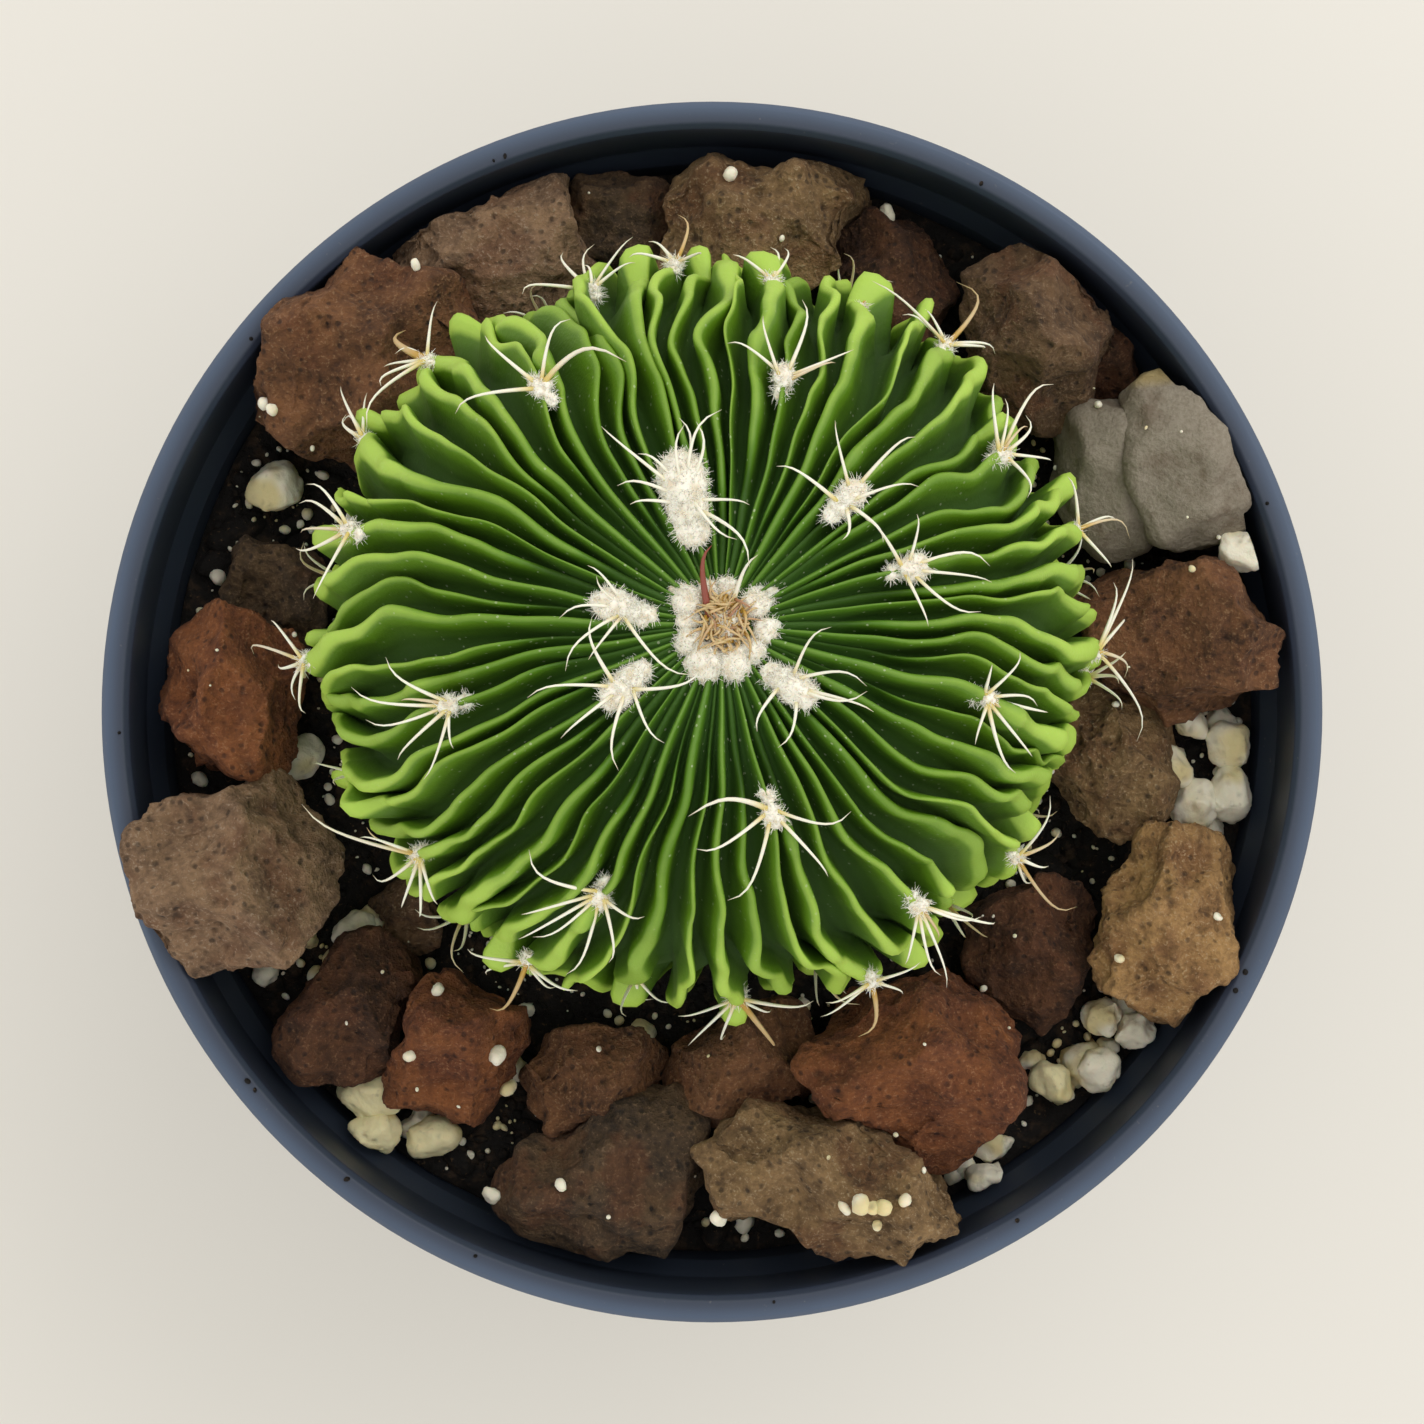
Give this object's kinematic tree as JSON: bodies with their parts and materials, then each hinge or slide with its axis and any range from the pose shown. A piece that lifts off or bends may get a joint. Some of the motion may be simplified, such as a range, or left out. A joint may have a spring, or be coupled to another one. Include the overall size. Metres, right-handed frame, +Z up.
{
  "type": "potted round cactus",
  "caption": "Globe cactus with many thin wavy ribs and white spines, growing in a round plant pot topped with loose lava stones and perlite.",
  "frame": {"origin": "middle of the pot's foot, on the surface it stands on, with the pot's axis on z", "axes": "+Z up; +Y towards the side of the pot the plant sits nearest to; +X to the right when looking down on it with +Y away"},
  "size_m": [0.105, 0.105, 0.1248],
  "materials": {
    "pot_plastic": "slate blue-grey moulded plastic, satin",
    "growing_mix": null,
    "cactus_skin": "waxy green plant skin, paler on the rib crests",
    "areole_wool": "white plant wool",
    "spine_horn": "ivory spines, some amber, in white wool pads",
    "lava_rock": "rough porous red-brown lava",
    "grey_stone": "worn grey pebble",
    "perlite": "white expanded perlite, chalky"
  },
  "bodies": {
    "root": {"pot": "pot_plastic", "soil": "growing_mix", "cactus": "cactus_skin", "lava_stone_01": "lava_rock", "lava_stone_02": "lava_rock", "lava_stone_03": "lava_rock", "lava_stone_04": "lava_rock", "lava_stone_05": "lava_rock", "lava_stone_06": "lava_rock", "lava_stone_07": "lava_rock", "lava_stone_08": "lava_rock", "lava_stone_09": "lava_rock", "lava_stone_10": "lava_rock", "lava_stone_11": "lava_rock", "lava_stone_12": "lava_rock", "lava_stone_13": "lava_rock", "lava_stone_14": "lava_rock", "lava_stone_15": "lava_rock", "lava_stone_16": "lava_rock", "lava_stone_17": "lava_rock", "lava_stone_18": "lava_rock", "lava_stone_19": "lava_rock", "lava_stone_20": "lava_rock", "lava_stone_21": "lava_rock", "lava_stone_22": "lava_rock", "grey_pebble_01": "grey_stone", "grey_pebble_02": "grey_stone", "perlite_grain_01": "perlite", "perlite_grain_02": "perlite", "perlite_grain_03": "perlite", "perlite_grain_04": "perlite", "perlite_grain_05": "perlite", "perlite_grain_06": "perlite", "perlite_grain_07": "perlite", "perlite_grain_08": "perlite", "perlite_grain_09": "perlite", "perlite_grain_10": "perlite", "perlite_grain_11": "perlite", "perlite_grain_12": "perlite", "perlite_grain_13": "perlite", "perlite_grain_14": "perlite", "perlite_grain_15": "perlite", "perlite_grain_16": "perlite", "perlite_grain_17": "perlite", "perlite_grain_18": "perlite", "perlite_grain_19": "perlite"}
  },
  "joints": []
}
